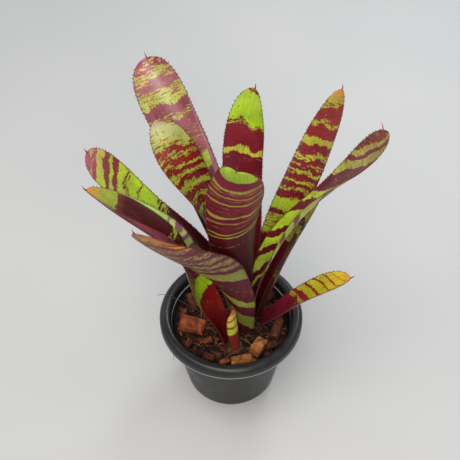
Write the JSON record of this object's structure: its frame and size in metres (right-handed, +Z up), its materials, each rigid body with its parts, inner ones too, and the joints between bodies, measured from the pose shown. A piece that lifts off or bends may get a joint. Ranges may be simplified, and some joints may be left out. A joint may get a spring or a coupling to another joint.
{
  "type": "potted bromeliad",
  "caption": "Upright rosette of channelled, cross-banded strap leaves with a young offset shoot, planted in husk chips and coir in a tapered nursery pot with a rolled collar",
  "frame": {"origin": "centre of the flat underside of the pot's floor, on the plane it rests on", "axes": "+Z up, out of the pot; +Y away from the viewer who faces the front of the plant; +X to that viewer's right"},
  "size_m": [0.2383, 0.1661, 0.3487],
  "materials": {
    "black_plastic": "satin moulded black polypropylene",
    "potting_mix": "dark coir and peat, loose fibre",
    "husk": "torn orange-brown coconut husk",
    "stem": "dull brown stem bark",
    "leaf": "maroon and green banded leaf, satin above and scurfy below"
  },
  "bodies": {
    "root": {"pot": "black_plastic", "potting_mix": "potting_mix", "stem": "stem", "husk_chip_front_left": "husk", "husk_chip_back_left": "husk", "husk_chip_front": "husk", "husk_chip_front_right": "husk", "husk_chip_right": "husk", "husk_chip_back_right": "husk", "husk_chip_back": "husk", "leaf_front_centre": "leaf", "leaf_back_centre": "leaf", "leaf_back_left_inner": "leaf", "leaf_right": "leaf", "leaf_back_right": "leaf", "leaf_back_left_tall": "leaf", "leaf_left_upper": "leaf", "leaf_back_right_small": "leaf", "leaf_low_right": "leaf", "leaf_front_left_curled": "leaf", "leaf_left_arching": "leaf", "leaf_offset_rolled": "leaf"}
  },
  "joints": []
}
